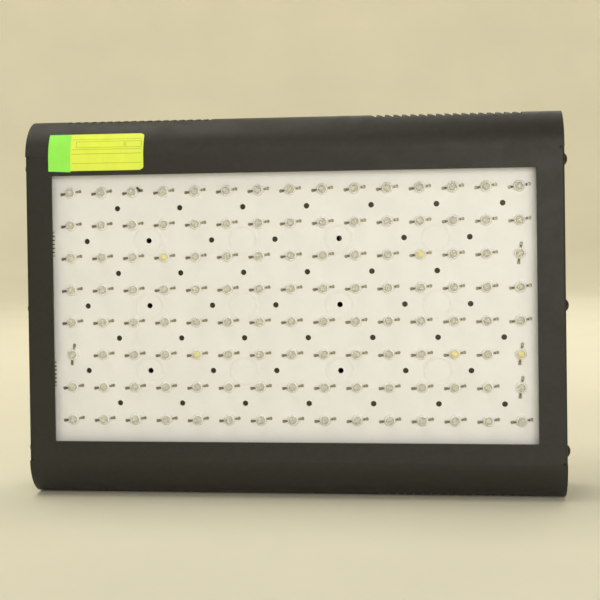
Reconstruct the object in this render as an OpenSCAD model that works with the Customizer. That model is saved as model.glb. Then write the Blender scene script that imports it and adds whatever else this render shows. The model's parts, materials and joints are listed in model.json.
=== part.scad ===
// Panel grow light: 120 LED emitters in a rolled sheet-steel casing with two fans.
// The lit face looks along -Y, +Z is up, and the origin is under the middle of the casing.

/* [Casing] */
// Width of the casing over its side flanges
body_w = 376; // [372:1:400]
// Height of the casing
body_h = 268; // [264:1:290]
// Depth from the cover's face to the back panel's face
body_d = 72; // [71:1:80]
// Outer radius of the rolled top and bottom edges
edge_r = 27; // [24:1:28]
// Thickness of the sheet steel
sheet_t = 1.2; // [1:0.1:1.4]
// Outer radius of the small sheet bends
bend_r = 2; // [1.6:0.1:2.4]
// Length of each side flange, as half its height
flange_half = 106.5; // [100:0.5:107]
// Depth of each side flange
flange_d = 17; // [15:1:22]
// Width of the lips that carry the back panel
lip_w = 12; // [11:0.5:14]

/* [Window] */
// Width of the window in the cover
window_w = 338; // [330:1:340]
// Height of the window in the cover
window_h = 188; // [184:1:190]
// Depth of the LED board behind the cover's face
board_recess = 7; // [6.8:0.1:8]

/* [LED grid] */
// Number of emitter columns
led_cols = 15; // [15:2:15]
// Number of emitter rows
led_rows = 8; // [8:2:8]
// Distance between emitter columns
led_pitch_x = 22.5; // [22:0.1:22.6]
// Distance between emitter rows
led_pitch_z = 23; // [22:0.1:23.2]
// Turn of each emitter's leads from level
lead_turn = 8.5; // [0:0.5:20]
// Diameter of the vent holes in the LED board
vent_d = 3.9; // [3:0.1:4.5]

/* [Louvres] */
// Number of louvres in each group
louvre_count = 18; // [10:1:18]
// Distance of each group's middle from the middle of the casing
louvre_x = 108.5; // [107:0.5:110]
// Distance between louvres
louvre_pitch = 5.92; // [5.6:0.01:6]
// Width of the sloping flap of one louvre
louvre_w = 4.6; // [3.8:0.1:4.8]
// Depth of a flap's low edge below the casing
louvre_drop = 2.5; // [1.8:0.1:2.6]
// Length of each louvre behind the roll
louvre_run = 18; // [12:1:24]

/* [Fans] */
// Side of each square fan frame
fan_size = 120; // [120:1:120]
// Depth of each fan
fan_d = 25; // [25:1:26]
// Distance of each fan's centre from the middle of the casing
fan_x = 111.5; // [110:0.5:114]
// Number of blades
blade_count = 7; // [5:1:9]

/* [Hangers] */
// Height of each hanger ear above the back panel
ear_h = 18; // [16:1:24]
// Diameter of the hole in each hanger ear
ear_hole_d = 7; // [6:0.5:8]
// Thickness of each hanger bracket
ear_t = 2; // [1.5:0.5:2.5]

/* [Hidden] */
$fn = 64;
eps = 0.01;
gap = 0.2;
mid_z = body_h / 2;
front_y = -(body_d + ear_h) / 2;
back_y = front_y + body_d;
lip_y = back_y - sheet_t;
inner_y = lip_y - sheet_t;
end_x = body_w / 2 - sheet_t;
relief_w = 1.4;
relief_d = 6;
flap_root = 0.4;
flap_lift = 0.5;
louvre_outline = [[-louvre_w / 2, 0], [louvre_w / 2, -louvre_drop],
    [louvre_w / 2, sheet_t], [-louvre_w / 2, sheet_t]];
flap_outline = [[-louvre_w / 2 - flap_root, -gap / 2], [louvre_w / 2, flap_lift - louvre_drop],
    [louvre_w / 2, -louvre_drop - sheet_t], [-louvre_w / 2 - flap_root, -sheet_t]];

// LED board and its heat sinks
grid_x = 0.4;
grid_z = mid_z + 1.4;
board_w = 359;
board_h = 208;
board_t = 1.6;
board_y = front_y + board_recess;
ring_r = 9;
ring_w = 0.8;
ring_depth = 0.25;
fixing_x = board_w / 2 - 4.2;
fixing_z = board_h / 2 - 4.2;
fixings = [
    for (sx = [-1, 1], sz = [-1, 1]) [sx * fixing_x, sz * fixing_z],
    for (sx = [-1, 1], sz = [-1, 1]) [sx * 60, sz * fixing_z],
    for (sx = [-1, 1]) [sx * fixing_x, 0]
];
stud_r = 1.5;
sink_y = board_y + board_t;
sink_h = 190;
sink_base = 5;
sink_d = 30;
fin_pitch = led_pitch_x / 3;
fin_t = 1.8;
fins_per_sink = 22;
sink_screw_cols = [[1.5, 5.5], [7.5, 11.5]];
sink_screw_rows = [1.5, 3.5, 5.5];
missing_vent = [13, 2];
deep_cols = [2, 8];
yellow_leds = [[3, 2], [11, 2], [4, 5], [12, 5], [14, 5]];
turned_leds = [[14, 2], [0, 5], [14, 5], [14, 6]];

// Emitter
led_r = 4;
led_base_h = 2.6;
dome_r = 2.9;
dome_h = 5.3;
lead_span = 15;
lead_w = 1.1;
lead_t = 0.4;
lead_z = 1.1;
pad_l = 2.4;
pad_w = 2.2;

// Fasteners
side_screw_z = [-99.5, 0, 99.5];
side_screw_y = front_y + 8.5;
m4_r = 2;
m3_r = 1.5;
hole_gap = 0.15;
truss_r = 4.6;
truss_h = 2.5;
pan_r = 2.9;
pan_h = 1.9;
panel_screws = [
    for (x = [-160, -55, 55, 160], z = [6.6, body_h - 6.6]) [x, z],
    for (sx = [-1, 1], sz = [-1, 1]) [sx * (end_x - 6), mid_z + sz * 70]
];

// Fans
fan_hole = 52.5;
fan_bore_r = 57;
blade_r = 55.5;
hub_r = 20;
hub_wall = 1.5;
hub_h = 19;
motor_r = 17;
fan_back = lip_y;
fan_front = fan_back - fan_d;
shaft_r = 1.5;
bearing_gap = 0.03;
guard_wire_r = 0.9;
guard_rings = [16, 27, 38, 49];
eye_r = 3.6;
post_off = 5.1;

// Electrical parts on the back panel
inlet_z = 36;
outlet_z = 78;
switch_z = 110;
switch_x = 17;
inlet_w = 50;
socket_screw_x = 20;
inlet_h = 33;
inlet_body_w = 28;
inlet_body_h = 31;
socket_w = 24.6;
socket_h = 16.6;
socket_up = 6;
socket_depth = 18;
drawer_w = 25;
drawer_h = 7.4;
drawer_down = -10.4;
drawer_l = 19;
drawer_gap = 0.3;
outlet_w = 50;
outlet_h = 25;
outlet_body_w = 28;
outlet_body_h = 22;
rocker_tilt = 7;
rocker_w = 10.4;
rocker_h = 15;
rocker_rise = 5.4;
pocket_w = 11.1;
pocket_h = 17;
pivot_r = 1;
pivot_l = 11.8;
pivot_gap = 0.05;
switch_w = 15;
switch_h = 21;
pivot_z = -1;

// Power supplies
driver_w = 42;
driver_h = 116;
driver_d = 28;
driver_x = 23;
driver_z = 197;
driver_screw_z = 48;
fan_supply_pos = [-72, 34];
terminal_pos = [52, 34];
earth_pos = [36, 62];

// Hangers
hanger_x = 150;
hanger_z = 104;
foot_w = 18;
foot_l = 34;
ear_l = 20;
rivet_off = 12;
rivet_r = 2;

// Wiring: hand-set route points inside the casing
wire_r = 1.1;
wire_sides = 8;
wire_steps = 2;
mains_route = [[7, -1.8, 40.5], [14, -4.4, 40.5], [26, -4.6, 40], [37, -3.4, 38], [44, 3, 36],
    [46, 11, 36]];
feed_route = [[58, 11, 36], [57.4, 6, 39], [53, 2, 52], [46, 1, 74], [42, -1, 100],
    [34, -1, 120], [25, 6, 130], [23.2, 10.8, 135], [23, 11.8, 141.6]];
led_route_right = [[23, 11.8, 252.4], [23.6, 11.9, 256], [28, 12, 261.3], [60, 16, 262.5], [120, 18, 262],
    [168, 10, 258], [178, -6, 246], [182.2, -24, 226], [182.2, -36, 206], [181, -40.4, 196],
    [176.8, -41, 190], [175.1, -41, 183.7]];
led_route_left = [for (p = led_route_right) [-p[0], p[1], p[2]]];
fan_route_left = [[-111, 4, 73.4], [-109, 2, 62], [-104, 8, 46], [-98, 15, 36], [-89.4, 16.8, 34]];
fan_route_right = [[111, 4, 73.4], [106, 0, 66], [80, -3, 60], [30, -4, 58], [-20, -4, 56],
    [-38, -1, 51], [-44, 9, 42], [-48.5, 15.4, 35.6], [-54.6, 16.8, 34]];

function led_x(c) = grid_x + (c - (led_cols - 1) / 2) * led_pitch_x;
function led_z(r) = grid_z + ((led_rows - 1) / 2 - r) * led_pitch_z;
function listed(list, c, r) = len([for (p = list) if (p[0] == c && p[1] == r) 1]) > 0;
function vent_spots() = [
    for (r = [0:led_rows - 2])
        for (c = [1 - r % 2:2:led_cols - 2])
            if (c != missing_vent[0] || r != missing_vent[1]) [led_x(c + 0.5), led_z(r + 0.5)]
];
function ring_spots() = [
    for (c = [2:3:11], r = [1:2:5]) [led_x(c + 0.5), led_z(r + 0.5)]
];
function unit(v) = v / norm(v);

// Local +z looks out of the front, +x to the right and +y up
module at_front(x, y, z) translate([x, y, z]) rotate([90, 0, 0]) children();

// Local +z looks out of the back, and +y up
module at_back(x, z) translate([x, back_y, z]) rotate([90, 0, 180]) children();

module rounded_rect(w, h, r) {
    square([w - 2 * r, h], center = true);
    square([w, h - 2 * r], center = true);
    for (sx = [-1, 1], sy = [-1, 1])
        translate([sx * (w / 2 - r), sy * (h / 2 - r)]) circle(r);
}

module rounded_box(w, h, d, r) linear_extrude(d) rounded_rect(w, h, r);

module tube(outer_r, inner_r, h) {
    difference() {
        cylinder(r = outer_r, h = h);
        translate([0, 0, -1]) cylinder(r = inner_r, h = h + 2);
    }
}

// Domed screw: the head sits on z = 0 and the shank runs down from it
module screw(head_r, head_h, shank_r, shank_l) {
    dome = (head_r * head_r + head_h * head_h) / (2 * head_h);
    difference() {
        intersection() {
            translate([0, 0, head_h - dome]) sphere(dome);
            cylinder(r = head_r, h = head_h);
        }
        for (a = [0, 90])
            rotate([0, 0, a + 20])
                translate([0, 0, head_h]) cube([head_r * 1.1, head_r * 0.22, 2.4], center = true);
    }
    translate([0, 0, -shank_l]) cylinder(r = shank_r, h = shank_l + eps);
}

// Depth and height outline of the casing, set in by a distance
module casing_section(inset) {
    front_r = edge_r - inset;
    back_r = max(bend_r - inset, 0.3);
    low = inset;
    high = body_h - inset;
    union() {
        translate([front_y + edge_r, low])
            square([lip_y - inset - back_r - front_y - edge_r, high - low]);
        translate([front_y + inset, edge_r]) square([front_r + eps, body_h - 2 * edge_r]);
        translate([lip_y - inset - back_r - eps, low + back_r])
            square([back_r + eps, high - low - 2 * back_r]);
        for (z = [edge_r, body_h - edge_r]) translate([front_y + edge_r, z]) circle(front_r);
        for (z = [low + back_r, high - back_r])
            translate([lip_y - inset - back_r, z]) circle(back_r);
    }
}

// Extrudes a depth and height outline along X, centred
module across(width) {
    translate([-width / 2, 0, 0]) rotate([90, 0, 90]) linear_extrude(width) children();
}

// Places an outline at every louvre. Its low edge faces the nearer end of the casing
module louvres(outline) {
    length = edge_r / 2 + louvre_run;
    for (side = [-1, 1], sz = [-1, 1], i = [0:louvre_count - 1])
        translate([side * (louvre_x + (i - (louvre_count - 1) / 2) * louvre_pitch),
            front_y + edge_r + louvre_run, mid_z + sz * body_h / 2])
            rotate([90, 0, 0]) linear_extrude(length)
                polygon([for (p = outline) [side * p[0], sz * p[1]]]);
}

module side_screw_holes() {
    for (z = side_screw_z)
        translate([-body_w, side_screw_y, mid_z + z])
            rotate([0, 90, 0]) cylinder(r = m4_r + hole_gap, h = 2 * body_w);
}

// Hole through the back panel and the lip behind it
module panel_hole(x, z, r) {
    at_back(x, z) translate([0, 0, -4]) cylinder(r = r, h = 8);
}

module flange_relief() {
    for (sx = [-1, 1], sz = [-1, 1])
        translate([sx * body_w / 2, front_y, mid_z + sz * (flange_half + relief_w / 2)])
            cube([relief_d, 2 * relief_d, relief_w], center = true);
}

module side_flange(side) {
    flange_mid = front_y + (flange_d + bend_r) / 2;
    translate([side * (body_w - sheet_t) / 2, flange_mid, mid_z])
        cube([sheet_t, flange_d - bend_r, 2 * flange_half], center = true);
    bend_x = body_w / 2 - bend_r;
    translate([side * bend_x, front_y + bend_r, mid_z - flange_half])
        intersection() {
            tube(bend_r, bend_r - sheet_t, 2 * flange_half);
            translate([side * bend_r / 2, -bend_r / 2, flange_half])
                cube([bend_r, bend_r, 2 * flange_half + 2], center = true);
        }
}

module front_cover() {
    color([0.2, 0.2, 0.19]) difference() {
        union() {
            difference() {
                across(body_w) difference() {
                    casing_section(0);
                    casing_section(sheet_t);
                }
                translate([0, lip_y - sheet_t, mid_z])
                    cube([body_w + 2, 4 * sheet_t, body_h - 2 * lip_w], center = true);
                // The face stops short of the side flanges' bends
                for (sx = [-1, 1])
                    translate([sx * body_w / 2, front_y, mid_z])
                        cube([2 * bend_r, 4 * sheet_t, 2 * flange_half], center = true);
            }
            for (sx = [-1, 1]) side_flange(sx);
            intersection() {
                across(body_w) casing_section(sheet_t / 2);
                louvres(flap_outline);
            }
        }
        at_front(0, front_y + 2 * sheet_t, mid_z)
            rounded_box(window_w, window_h, 4 * sheet_t, 0.8);
        louvres(louvre_outline);
        flange_relief();
        side_screw_holes();
        for (p = panel_screws) panel_hole(p[0], p[1], m3_r + hole_gap);
    }
}

module end_plate(side) {
    flange_z = lip_w + 2;
    // A small tab at each front corner closes the relief cut in the cover
    tab_y = front_y + 1.5 * sheet_t;
    tab_w = 2 * sheet_t;
    color([0.2, 0.2, 0.19]) difference() {
        union() {
            translate([side * (end_x - sheet_t / 2), 0, 0])
                across(sheet_t) casing_section(sheet_t + gap);
            translate([side * (end_x - sheet_t / 2), lip_y - 2, mid_z])
                cube([sheet_t, 4, body_h - 2 * flange_z], center = true);
            translate([side * (end_x - lip_w / 2), lip_y - sheet_t / 2, mid_z])
                cube([lip_w, sheet_t, body_h - 2 * flange_z], center = true);
            for (sz = [-1, 1])
                translate([side * (end_x - sheet_t + tab_w / 2), tab_y + relief_d / 2,
                    mid_z + sz * (flange_half + gap / 2 + 1.5 * relief_w)])
                    cube([tab_w, relief_d, 3 * relief_w], center = true);
        }
        // The plate's front edge stays behind the bends of the cover's side flanges
        translate([side * end_x, front_y, mid_z])
            cube([lip_w, 2 * bend_r, 2 * flange_half], center = true);
        side_screw_holes();
        for (p = panel_screws) panel_hole(p[0], p[1], m3_r + hole_gap);
    }
}

module back_panel() {
    color([0.2, 0.2, 0.19]) difference() {
        at_back(0, mid_z) translate([0, 0, -sheet_t])
            rounded_box(body_w - 1, body_h - 1, sheet_t, 3);
        for (sx = [-1, 1]) {
            panel_hole(sx * fan_x, mid_z, fan_bore_r - 1);
            for (hx = [-1, 1], hz = [-1, 1])
                panel_hole(sx * fan_x + hx * fan_hole, mid_z + hz * fan_hole, m4_r + hole_gap);
            at_back(sx * switch_x, switch_z) translate([0, 0, -4])
                rounded_box(switch_w - 1.6, switch_h - 1.6, 8, 0.6);
            for (z = [inlet_z, outlet_z]) panel_hole(sx * socket_screw_x, z, m3_r + hole_gap);
            for (sz = [-1, 1])
                panel_hole(sx * driver_x, driver_z + sz * driver_screw_z, m3_r + hole_gap);
        }
        for (p = panel_screws) panel_hole(p[0], p[1], m3_r + hole_gap);
        for (p = rivet_spots()) panel_hole(p[0], p[1], rivet_r + hole_gap);
        panel_hole(earth_pos[0], earth_pos[1], m4_r + hole_gap);
        at_back(0, inlet_z) translate([0, 0, -4])
            rounded_box(inlet_body_w + 0.4, inlet_body_h + 0.4, 8, 1);
        at_back(0, outlet_z) translate([0, 0, -4])
            rounded_box(outlet_body_w + 0.4, outlet_body_h + 0.4, 8, 1);
    }
}

module side_screws() {
    color([0.12, 0.12, 0.12]) for (side = [-1, 1], z = side_screw_z)
        translate([side * body_w / 2, side_screw_y, mid_z + z])
            rotate([0, side * 90, 0]) screw(truss_r, truss_h, m4_r, 8);
}

module side_clinch_nuts() {
    color("silver") for (side = [-1, 1], z = side_screw_z)
        translate([side * (end_x - sheet_t), side_screw_y, mid_z + z])
            rotate([0, -side * 90, 0]) tube(3.6, m4_r + 0.02, 4.6);
}

module panel_screws() {
    color([0.12, 0.12, 0.12]) for (p = panel_screws)
        at_back(p[0], p[1]) screw(pan_r, pan_h, m3_r, 7);
}

module panel_clinch_nuts() {
    color("silver") for (p = panel_screws)
        translate([p[0], inner_y, p[1]]) rotate([90, 0, 0]) tube(2.9, m3_r + 0.02, 4.2);
}

module led_board() {
    color([0.94, 0.93, 0.9]) difference() {
        at_front(0, board_y + board_t, mid_z) rounded_box(board_w, board_h, board_t, 2);
        for (p = vent_spots())
            at_front(p[0], board_y + 3, p[1]) cylinder(r = vent_d / 2, h = 6);
        for (p = ring_spots())
            at_front(p[0], board_y + ring_depth, p[1]) tube(ring_r, ring_r - ring_w, 2);
        for (p = fixings)
            at_front(p[0], board_y + 3, mid_z + p[1]) cylinder(r = stud_r + hole_gap, h = 6);
    }
}

// One emitter: round base, clear dome and two flat leads with solder pads
module emitter(turn) {
    rotate([0, 0, turn]) {
        cylinder(r = led_r, h = led_base_h);
        difference() {
            translate([0, 0, dome_h - dome_r]) sphere(dome_r);
            translate([0, 0, -led_r]) cylinder(r = led_r, h = led_r + led_base_h / 2);
        }
        translate([0, 0, led_base_h / 2]) cylinder(r = dome_r, h = dome_h - dome_r - led_base_h / 2);
        translate([-lead_span / 2, -lead_w / 2, lead_z]) cube([lead_span, lead_w, lead_t]);
        for (sx = [-1, 1])
            translate([sx * (lead_span - pad_l) / 2, 0, (lead_z + lead_t) / 2])
                cube([pad_l, pad_w, lead_z + lead_t], center = true);
    }
}

module emitters(yellow) {
    for (r = [0:led_rows - 1], c = [0:led_cols - 1])
        if (listed(yellow_leds, c, r) == yellow)
            at_front(led_x(c), board_y, led_z(r))
                emitter(listed(turned_leds, c, r) ? 90 - lead_turn : lead_turn);
}

module clear_emitters() {
    color([0.8, 0.8, 0.78]) emitters(false);
}

module yellow_emitters() {
    color([0.9, 0.8, 0.4]) emitters(true);
}

module board_studs() {
    color("silver") for (p = fixings)
        at_front(p[0], board_y + board_t + 5, mid_z + p[1])
            cylinder(r = stud_r, h = board_recess + board_t + 5 - sheet_t);
}

module board_spacers() {
    color("goldenrod") for (p = fixings)
        at_front(p[0], board_y, mid_z + p[1]) difference() {
            cylinder(r = 3.1, h = board_recess - sheet_t, $fn = 6);
            translate([0, 0, -1]) cylinder(r = stud_r + 0.1, h = board_recess + 2);
        }
}

module board_nuts() {
    color("silver") for (p = fixings)
        at_front(p[0], board_y + board_t + 2.4, mid_z + p[1]) difference() {
            cylinder(r = 3.1, h = 2.4, $fn = 6);
            translate([0, 0, -1]) cylinder(r = stud_r + 0.02, h = 5);
        }
}

module board_connectors() {
    color("ivory") for (sx = [-1, 1])
        at_front(sx * (board_w / 2 - 4.4), board_y, mid_z + 42) difference() {
            translate([-3.6, -7, 0]) cube([7.2, 14, 5]);
            for (y = [-3.5, 3.5]) translate([sx * 3.6, y, 2.6]) cube([6, 2.6, 2.6], center = true);
        }
}

// Finned extrusion: its fins stand upright so that air leaves at the top and bottom
module heat_sink(side) {
    first = grid_x + side * fin_pitch;
    last = grid_x + side * fin_pitch * fins_per_sink;
    low = min(first, last) - 4.5;
    width = (fins_per_sink - 1) * fin_pitch + 9;
    cols = sink_screw_cols[side < 0 ? 0 : 1];
    deep = deep_cols[side < 0 ? 0 : 1];
    color([0.72, 0.73, 0.75]) difference() {
        translate([0, 0, mid_z - sink_h / 2]) linear_extrude(sink_h) {
            translate([low, sink_y]) square([width, sink_base]);
            for (i = [1:fins_per_sink])
                translate([grid_x + side * i * fin_pitch - fin_t / 2, sink_y])
                    square([fin_t, sink_d]);
        }
        for (c = cols, r = sink_screw_rows)
            at_front(led_x(c), sink_y + 2 * sink_base, led_z(r))
                cylinder(r = m3_r + hole_gap, h = 3 * sink_base);
        for (r = sink_screw_rows)
            at_front(led_x(deep + 0.5), sink_y + 2 * sink_base, led_z(r))
                cylinder(r = vent_d / 2 - 0.2, h = 3 * sink_base);
    }
}

module heat_sink_screws() {
    color("silver") for (side = [0, 1], r = sink_screw_rows, i = [0, 1])
        translate([led_x(sink_screw_cols[side][i]), sink_y + sink_base, led_z(r)])
            rotate([-90, 0, 0]) screw(2.6, 1.8, m3_r, sink_base);
}

module fan_frame(side) {
    base_t = 2.4;
    color([0.1, 0.1, 0.1]) translate([side * fan_x, fan_front, mid_z]) rotate([-90, 0, 0]) {
        difference() {
            rounded_box(fan_size, fan_size, fan_d, 5);
            translate([0, 0, -1]) cylinder(r = fan_bore_r, h = fan_d + 2);
            for (hx = [-1, 1], hz = [-1, 1]) translate([hx * fan_hole, hz * fan_hole, -1])
                cylinder(r = m4_r + hole_gap, h = fan_d + 2);
            // Open webs between the two corner flanges
            for (a = [0:90:270]) rotate([0, 0, a])
                translate([fan_size / 2 + 1, 0, fan_d / 2])
                    cube([4.6, fan_size - 46, fan_d - 8], center = true);
        }
        cylinder(r = hub_r, h = base_t);
        for (a = [0:90:270]) rotate([0, 0, a + 12])
            translate([hub_r - 1, -1.6, 0]) cube([fan_bore_r - hub_r + 2, 3.2, 3]);
    }
}

module fan_motor(side) {
    color("peru") translate([side * fan_x, fan_front + 2.4, mid_z]) rotate([-90, 0, 0])
        difference() {
            union() {
                cylinder(r = motor_r - 1, h = 1.6);
                cylinder(r = 3.4, h = 16);
                for (a = [0:90:270]) rotate([0, 0, a])
                    translate([2, -4, 3]) cube([motor_r - 5, 8, 9]);
                translate([0, 0, 3]) tube(motor_r - 1, motor_r - 4, 9);
                translate([0, 0, 1]) cylinder(r = 6, h = 3);
            }
            translate([0, 0, 1]) cylinder(r = shaft_r + bearing_gap, h = 20);
        }
}

module fan_rotor(side) {
    hub_z = fan_d - 1.2 - hub_h;
    blade_h = 18;
    blade_t = 1.6;
    color([0.12, 0.12, 0.12]) translate([side * fan_x, fan_front, mid_z]) rotate([-90, 0, 0]) {
        difference() {
            translate([0, 0, hub_z]) cylinder(r = hub_r, h = hub_h);
            translate([0, 0, hub_z - 1]) cylinder(r = hub_r - hub_wall, h = hub_h + 1 - 2);
        }
        translate([0, 0, 5.5]) cylinder(r = shaft_r, h = fan_d - 5.5 - 2);
        intersection() {
            translate([0, 0, hub_z]) tube(blade_r, hub_r - 0.5, blade_h);
            for (i = [0:blade_count - 1]) rotate([0, 0, i * 360 / blade_count])
                translate([blade_r / 2 + 10, 0, hub_z + blade_h / 2])
                    rotate([38, 0, 0]) cube([blade_r, 30, blade_t], center = true);
        }
    }
}

module fan_guard(side) {
    arm = norm([fan_hole, fan_hole]);
    rise = 3 * guard_wire_r;
    color("silver") at_back(side * fan_x, mid_z) {
        for (r = guard_rings) translate([0, 0, guard_wire_r + rise])
            rotate_extrude() translate([r, 0]) circle(guard_wire_r, $fn = 24);
        for (a = [45, 135]) rotate([0, 0, a])
            translate([-arm + post_off, 0, rise - guard_wire_r * 0.6]) rotate([0, 90, 0])
                cylinder(r = guard_wire_r, h = 2 * (arm - post_off), $fn = 24);
        for (a = [45:90:315]) rotate([0, 0, a]) {
            translate([arm, 0, guard_wire_r])
                rotate_extrude() translate([eye_r, 0]) circle(guard_wire_r, $fn = 24);
            translate([arm - post_off, 0, guard_wire_r])
                cylinder(r = guard_wire_r, h = rise - guard_wire_r, $fn = 24);
        }
    }
}

module fan_screws() {
    seat = 2 * guard_wire_r;
    color("silver") for (side = [-1, 1], hx = [-1, 1], hz = [-1, 1])
        at_back(side * fan_x + hx * fan_hole, mid_z + hz * fan_hole)
            translate([0, 0, seat]) screw(4, 2.2, m4_r, 12);
}

// Fused mains inlet: socket above, fuse drawer pocket below
module power_inlet() {
    color([0.08, 0.08, 0.08]) at_back(0, inlet_z) difference() {
        union() {
            rounded_box(inlet_w, inlet_h, 2.4, 3);
            translate([0, 0, -22]) rounded_box(inlet_body_w, inlet_body_h, 23, 1);
        }
        translate([0, socket_up, -socket_depth + 2.4]) linear_extrude(socket_depth + 1)
            polygon(socket_outline(socket_w, socket_h, 5));
        translate([0, drawer_down, 2.4 - drawer_l - 1])
            linear_extrude(drawer_l + 2)
                square([drawer_w + 2 * drawer_gap, drawer_h + 2 * drawer_gap], center = true);
        for (sx = [-1, 1]) translate([sx * socket_screw_x, 0, -1])
            cylinder(r = m3_r + hole_gap, h = 6);
        for (p = pin_spots()) translate([p[0], socket_up + p[1], -20])
            cube([2.02, 4.02, 12], center = true);
    }
}

// Rectangle with its two upper corners cut off
function socket_outline(w, h, cut) = [[-w / 2, -h / 2], [w / 2, -h / 2], [w / 2, h / 2 - cut],
    [w / 2 - cut, h / 2], [-w / 2 + cut, h / 2], [-w / 2, h / 2 - cut]];
function pin_spots() = [[-7, -1.5], [7, -1.5], [0, 2.5]];

module inlet_pins() {
    color("silver") at_back(0, inlet_z) for (p = pin_spots())
        translate([p[0], socket_up + p[1], -14.6]) cube([2, 4, 26], center = true);
}

module fuse_drawer() {
    color([0.1, 0.1, 0.1]) at_back(0, inlet_z) translate([0, drawer_down, 0]) difference() {
        union() {
            translate([-drawer_w / 2, -drawer_h / 2, 2.4 - drawer_l])
                cube([drawer_w, drawer_h, drawer_l]);
            translate([-6, -drawer_h / 2, 2.3]) cube([12, 2, 2.2]);
        }
        translate([-10.6, -2.9, -12.8]) cube([21.2, 10, 5.8]);
        translate([-8, -drawer_h, -14]) cube([16, 2 * drawer_h, 3]);
    }
}

module fuse() {
    color("beige") at_back(0, inlet_z) translate([-10, drawer_down, -9.9]) rotate([0, 90, 0]) {
        cylinder(r = 2.35, h = 20);
        for (x = [0, 14.6]) translate([0, 0, x]) cylinder(r = 2.6, h = 5.4);
    }
}

module power_outlet() {
    color([0.08, 0.08, 0.08]) at_back(0, outlet_z) difference() {
        union() {
            rounded_box(outlet_w, outlet_h, 2.4, 3);
            translate([0, 0, -22]) rounded_box(outlet_body_w, outlet_body_h, 23, 1);
        }
        // Moat that the shroud of a plug slides into
        translate([0, 0, -14]) linear_extrude(20) difference() {
            polygon(socket_outline(24.6, 16.6, 5));
            polygon(socket_outline(19, 11, 3));
        }
        for (p = pin_spots()) translate([p[0] * 0.86, p[1], 0]) cube([2.3, 4.3, 60], center = true);
        for (sx = [-1, 1]) translate([sx * socket_screw_x, 0, -1])
            cylinder(r = m3_r + hole_gap, h = 6);
    }
}

module outlet_contacts() {
    color("silver") at_back(0, outlet_z) for (p = pin_spots())
        translate([p[0] * 0.86, p[1], -18]) cube([1.9, 3.9, 22], center = true);
}

module socket_screws() {
    color("silver") for (z = [inlet_z, outlet_z], sx = [-1, 1])
        at_back(sx * socket_screw_x, z) translate([0, 0, 2.4]) screw(2.7, 1.6, m3_r, 8);
}

module switch_body(side) {
    color([0.08, 0.08, 0.08]) at_back(side * switch_x, switch_z) difference() {
        union() {
            rounded_box(switch_w, switch_h, 2, 1.6);
            translate([0, 0, -15]) rounded_box(switch_w - 2, switch_h - 2, 16, 0.6);
        }
        translate([0, 0, -9]) linear_extrude(20) square([pocket_w, pocket_h], center = true);
        translate([-pivot_l / 2 - pivot_gap, 0, pivot_z]) rotate([0, 90, 0])
            cylinder(r = pivot_r + pivot_gap, h = pivot_l + 2 * pivot_gap);
    }
    color("silver") at_back(side * switch_x, switch_z)
        for (y = [-6, 0, 6]) translate([-0.4, y - 2.3, -23]) cube([0.8, 4.6, 8.5]);
}

// Rocker: two flat faces that meet over the pivot, drawn in its off position
module rocker(side) {
    half = rocker_h / 2;
    color([0.1, 0.1, 0.1]) at_back(side * switch_x, switch_z) translate([0, 0, pivot_z])
        rotate([rocker_tilt, 0, 0]) {
            translate([rocker_w / 2, 0, 0]) rotate([0, -90, 0]) linear_extrude(rocker_w)
                polygon([[-4, -2.6], [-4, 2.6], [-1.6, half], [rocker_rise, half],
                    [rocker_rise - 2, 0], [rocker_rise, -half], [-1.6, -half]]);
            translate([-pivot_l / 2, 0, 0]) rotate([0, 90, 0]) cylinder(r = pivot_r, h = pivot_l);
        }
}

module led_driver(side) {
    color([0.78, 0.79, 0.8]) translate([side * driver_x, inner_y + sheet_t, driver_z])
        rotate([90, 0, 0]) difference() {
            rounded_box(driver_w, driver_h, driver_d, 2);
            for (sy = [-1, 1]) translate([0, sy * driver_screw_z, -1])
                cylinder(r = m3_r + 0.02, h = 8);
            for (sy = [-1, 1]) translate([0, sy * driver_h / 2, driver_d / 2])
                cube([14, 6, 8], center = true);
        }
}

module driver_screws() {
    color([0.12, 0.12, 0.12]) for (sx = [-1, 1], sz = [-1, 1])
        at_back(sx * driver_x, driver_z + sz * driver_screw_z) screw(pan_r, pan_h, m3_r, 6);
}

module fan_supply() {
    color("ivory") translate([fan_supply_pos[0], lip_y, fan_supply_pos[1]]) rotate([90, 0, 0])
        difference() {
            rounded_box(40, 28, 18, 2);
            for (sx = [-1, 1]) translate([sx * 20, 0, 9]) cube([6, 12, 6], center = true);
        }
}

module terminal_block() {
    color("ivory") translate([terminal_pos[0], lip_y, terminal_pos[1]]) rotate([90, 0, 0])
        difference() {
            rounded_box(32, 18, 14, 1);
            for (x = [-10, 0, 10]) translate([x, 0, 9]) cylinder(r = 2.6, h = 6);
            for (x = [-10, 0, 10]) translate([x, 0, 5]) cube([4, 20, 4], center = true);
        }
}

module earth_stud() {
    color("goldenrod") at_back(earth_pos[0], earth_pos[1]) {
        screw(4, 2.2, m4_r, 16);
        translate([0, 0, -sheet_t - 0.9]) tube(4.4, m4_r + 0.02, 0.9);
        translate([0, 0, -sheet_t - 4.1]) difference() {
            cylinder(r = 4, h = 3.2, $fn = 6);
            translate([0, 0, -1]) cylinder(r = m4_r + 0.02, h = 6);
        }
    }
}

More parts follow.
